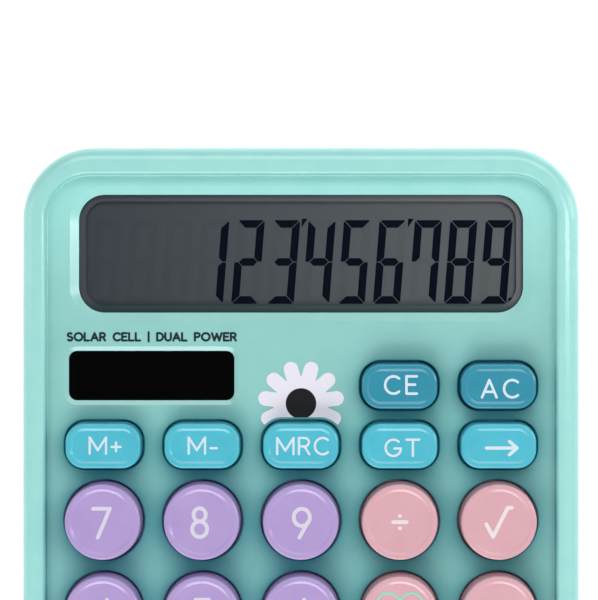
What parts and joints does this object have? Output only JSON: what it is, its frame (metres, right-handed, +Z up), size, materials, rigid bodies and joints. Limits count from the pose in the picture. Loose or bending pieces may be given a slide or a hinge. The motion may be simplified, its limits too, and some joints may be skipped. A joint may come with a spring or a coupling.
{
  "type": "desk calculator",
  "caption": "Wedge-shaped desk calculator with a raised rim, wide display window, solar window, oblong function keys, round keys and a sliding battery door.",
  "frame": {"origin": "centre of the box's underside, on the desk under the feet", "axes": "+Z up from the desk, +Y towards the display end, +X to the right of the person using it"},
  "size_m": [0.113, 0.1504, 0.0282],
  "materials": {
    "case_plastic": "moulded gloss",
    "key_teal": "moulded gloss",
    "key_blue": "moulded gloss",
    "key_pink": "moulded gloss",
    "key_lilac": "moulded gloss",
    "clear_acrylic": "polished",
    "smoked_acrylic": "polished",
    "lcd_glass": "satin polariser",
    "reflector_film": "satin",
    "black_foam": "matte",
    "white_plastic": "matte",
    "ribbon_film": "satin",
    "solar_silicon": "polished",
    "silicone": "matte",
    "board_laminate": "satin solder mask",
    "black_resin": "satin",
    "component_plastic": "satin",
    "cell_jacket": "printed film",
    "plated_steel": "zinc plated",
    "red_wire": "satin",
    "black_wire": "satin",
    "foot_rubber": "matte"
  },
  "bodies": {
    "case": {"battery_cell": "cell_jacket", "battery_contact": "plated_steel", "battery_lead_negative": "black_wire", "battery_lead_positive": "red_wire", "battery_spring": "plated_steel", "board_components": "component_plastic", "board_screws": "plated_steel", "case_screws": "plated_steel", "chip_blob": "black_resin", "circuit_board": "board_laminate", "display_lens": "clear_acrylic", "foot_back_left": "foot_rubber", "foot_back_right": "foot_rubber", "foot_front_left": "foot_rubber", "foot_front_right": "foot_rubber", "lcd_gasket": "black_foam", "lcd_glass": "lcd_glass", "lcd_reflector": "reflector_film", "lcd_ribbon": "ribbon_film", "lcd_tray": "white_plastic", "lower_shell": "case_plastic", "rubber_keypad": "silicone", "solar_cell": "solar_silicon", "solar_lead_negative": "black_wire", "solar_lead_positive": "red_wire", "solar_pad": "black_foam", "solar_window": "smoked_acrylic", "upper_shell": "case_plastic"},
    "battery_door": {"battery_door": "case_plastic"},
    "key_0": {"key_0": "key_lilac"},
    "key_00": {"key_00": "key_lilac"},
    "key_1": {"key_1": "key_lilac"},
    "key_2": {"key_2": "key_lilac"},
    "key_3": {"key_3": "key_lilac"},
    "key_4": {"key_4": "key_lilac"},
    "key_5": {"key_5": "key_lilac"},
    "key_6": {"key_6": "key_lilac"},
    "key_7": {"key_7": "key_lilac"},
    "key_8": {"key_8": "key_lilac"},
    "key_9": {"key_9": "key_lilac"},
    "key_all_clear": {"key_all_clear": "key_teal"},
    "key_backspace": {"key_backspace": "key_blue"},
    "key_clear_entry": {"key_clear_entry": "key_teal"},
    "key_divide": {"key_divide": "key_pink"},
    "key_equals": {"key_equals": "key_pink"},
    "key_grand_total": {"key_grand_total": "key_blue"},
    "key_memory_minus": {"key_memory_minus": "key_blue"},
    "key_memory_plus": {"key_memory_plus": "key_blue"},
    "key_memory_recall": {"key_memory_recall": "key_blue"},
    "key_minus": {"key_minus": "key_pink"},
    "key_multiply": {"key_multiply": "key_pink"},
    "key_percent": {"key_percent": "key_pink"},
    "key_plus": {"key_plus": "key_pink"},
    "key_point": {"key_point": "key_lilac"},
    "key_root": {"key_root": "key_pink"},
    "key_sign": {"key_sign": "key_pink"}
  },
  "joints": [
    {"name": "key_0_press", "type": "slide", "parent": "case", "child": "key_0", "axis": [0, 0.0906, -0.9959], "range_m": [0, 0.0018], "stiffness_N_per_m": 350, "springref_m": -0.001, "deforming": ["rubber_keypad"]},
    {"name": "key_00_press", "type": "slide", "parent": "case", "child": "key_00", "axis": [0, 0.0906, -0.9959], "range_m": [0, 0.0018], "stiffness_N_per_m": 350, "springref_m": -0.001, "deforming": ["rubber_keypad"]},
    {"name": "key_1_press", "type": "slide", "parent": "case", "child": "key_1", "axis": [0, 0.0906, -0.9959], "range_m": [0, 0.0018], "stiffness_N_per_m": 350, "springref_m": -0.001, "deforming": ["rubber_keypad"]},
    {"name": "key_2_press", "type": "slide", "parent": "case", "child": "key_2", "axis": [0, 0.0906, -0.9959], "range_m": [0, 0.0018], "stiffness_N_per_m": 350, "springref_m": -0.001, "deforming": ["rubber_keypad"]},
    {"name": "key_3_press", "type": "slide", "parent": "case", "child": "key_3", "axis": [0, 0.0906, -0.9959], "range_m": [0, 0.0018], "stiffness_N_per_m": 350, "springref_m": -0.001, "deforming": ["rubber_keypad"]},
    {"name": "key_4_press", "type": "slide", "parent": "case", "child": "key_4", "axis": [0, 0.0906, -0.9959], "range_m": [0, 0.0018], "stiffness_N_per_m": 350, "springref_m": -0.001, "deforming": ["rubber_keypad"]},
    {"name": "key_5_press", "type": "slide", "parent": "case", "child": "key_5", "axis": [0, 0.0906, -0.9959], "range_m": [0, 0.0018], "stiffness_N_per_m": 350, "springref_m": -0.001, "deforming": ["rubber_keypad"]},
    {"name": "key_6_press", "type": "slide", "parent": "case", "child": "key_6", "axis": [0, 0.0906, -0.9959], "range_m": [0, 0.0018], "stiffness_N_per_m": 350, "springref_m": -0.001, "deforming": ["rubber_keypad"]},
    {"name": "key_7_press", "type": "slide", "parent": "case", "child": "key_7", "axis": [0, 0.0906, -0.9959], "range_m": [0, 0.0018], "stiffness_N_per_m": 350, "springref_m": -0.001, "deforming": ["rubber_keypad"]},
    {"name": "key_8_press", "type": "slide", "parent": "case", "child": "key_8", "axis": [0, 0.0906, -0.9959], "range_m": [0, 0.0018], "stiffness_N_per_m": 350, "springref_m": -0.001, "deforming": ["rubber_keypad"]},
    {"name": "key_9_press", "type": "slide", "parent": "case", "child": "key_9", "axis": [0, 0.0906, -0.9959], "range_m": [0, 0.0018], "stiffness_N_per_m": 350, "springref_m": -0.001, "deforming": ["rubber_keypad"]},
    {"name": "key_all_clear_press", "type": "slide", "parent": "case", "child": "key_all_clear", "axis": [0, 0.0906, -0.9959], "range_m": [0, 0.0018], "stiffness_N_per_m": 350, "springref_m": -0.001, "deforming": ["rubber_keypad"]},
    {"name": "key_backspace_press", "type": "slide", "parent": "case", "child": "key_backspace", "axis": [0, 0.0906, -0.9959], "range_m": [0, 0.0018], "stiffness_N_per_m": 350, "springref_m": -0.001, "deforming": ["rubber_keypad"]},
    {"name": "key_clear_entry_press", "type": "slide", "parent": "case", "child": "key_clear_entry", "axis": [0, 0.0906, -0.9959], "range_m": [0, 0.0018], "stiffness_N_per_m": 350, "springref_m": -0.001, "deforming": ["rubber_keypad"]},
    {"name": "key_divide_press", "type": "slide", "parent": "case", "child": "key_divide", "axis": [0, 0.0906, -0.9959], "range_m": [0, 0.0018], "stiffness_N_per_m": 350, "springref_m": -0.001, "deforming": ["rubber_keypad"]},
    {"name": "key_equals_press", "type": "slide", "parent": "case", "child": "key_equals", "axis": [0, 0.0906, -0.9959], "range_m": [0, 0.0018], "stiffness_N_per_m": 350, "springref_m": -0.001, "deforming": ["rubber_keypad"]},
    {"name": "key_grand_total_press", "type": "slide", "parent": "case", "child": "key_grand_total", "axis": [0, 0.0906, -0.9959], "range_m": [0, 0.0018], "stiffness_N_per_m": 350, "springref_m": -0.001, "deforming": ["rubber_keypad"]},
    {"name": "key_memory_minus_press", "type": "slide", "parent": "case", "child": "key_memory_minus", "axis": [0, 0.0906, -0.9959], "range_m": [0, 0.0018], "stiffness_N_per_m": 350, "springref_m": -0.001, "deforming": ["rubber_keypad"]},
    {"name": "key_memory_plus_press", "type": "slide", "parent": "case", "child": "key_memory_plus", "axis": [0, 0.0906, -0.9959], "range_m": [0, 0.0018], "stiffness_N_per_m": 350, "springref_m": -0.001, "deforming": ["rubber_keypad"]},
    {"name": "key_memory_recall_press", "type": "slide", "parent": "case", "child": "key_memory_recall", "axis": [0, 0.0906, -0.9959], "range_m": [0, 0.0018], "stiffness_N_per_m": 350, "springref_m": -0.001, "deforming": ["rubber_keypad"]},
    {"name": "key_minus_press", "type": "slide", "parent": "case", "child": "key_minus", "axis": [0, 0.0906, -0.9959], "range_m": [0, 0.0018], "stiffness_N_per_m": 350, "springref_m": -0.001, "deforming": ["rubber_keypad"]},
    {"name": "key_multiply_press", "type": "slide", "parent": "case", "child": "key_multiply", "axis": [0, 0.0906, -0.9959], "range_m": [0, 0.0018], "stiffness_N_per_m": 350, "springref_m": -0.001, "deforming": ["rubber_keypad"]},
    {"name": "key_percent_press", "type": "slide", "parent": "case", "child": "key_percent", "axis": [0, 0.0906, -0.9959], "range_m": [0, 0.0018], "stiffness_N_per_m": 350, "springref_m": -0.001, "deforming": ["rubber_keypad"]},
    {"name": "key_plus_press", "type": "slide", "parent": "case", "child": "key_plus", "axis": [0, 0.0906, -0.9959], "range_m": [0, 0.0018], "stiffness_N_per_m": 350, "springref_m": -0.001, "deforming": ["rubber_keypad"]},
    {"name": "key_point_press", "type": "slide", "parent": "case", "child": "key_point", "axis": [0, 0.0906, -0.9959], "range_m": [0, 0.0018], "stiffness_N_per_m": 350, "springref_m": -0.001, "deforming": ["rubber_keypad"]},
    {"name": "key_root_press", "type": "slide", "parent": "case", "child": "key_root", "axis": [0, 0.0906, -0.9959], "range_m": [0, 0.0018], "stiffness_N_per_m": 350, "springref_m": -0.001, "deforming": ["rubber_keypad"]},
    {"name": "key_sign_press", "type": "slide", "parent": "case", "child": "key_sign", "axis": [0, 0.0906, -0.9959], "range_m": [0, 0.0018], "stiffness_N_per_m": 350, "springref_m": -0.001, "deforming": ["rubber_keypad"]},
    {"name": "battery_door_slide", "type": "slide", "parent": "case", "child": "battery_door", "axis": [0, 1, 0], "range_m": [0, 0.0425]}
  ]
}
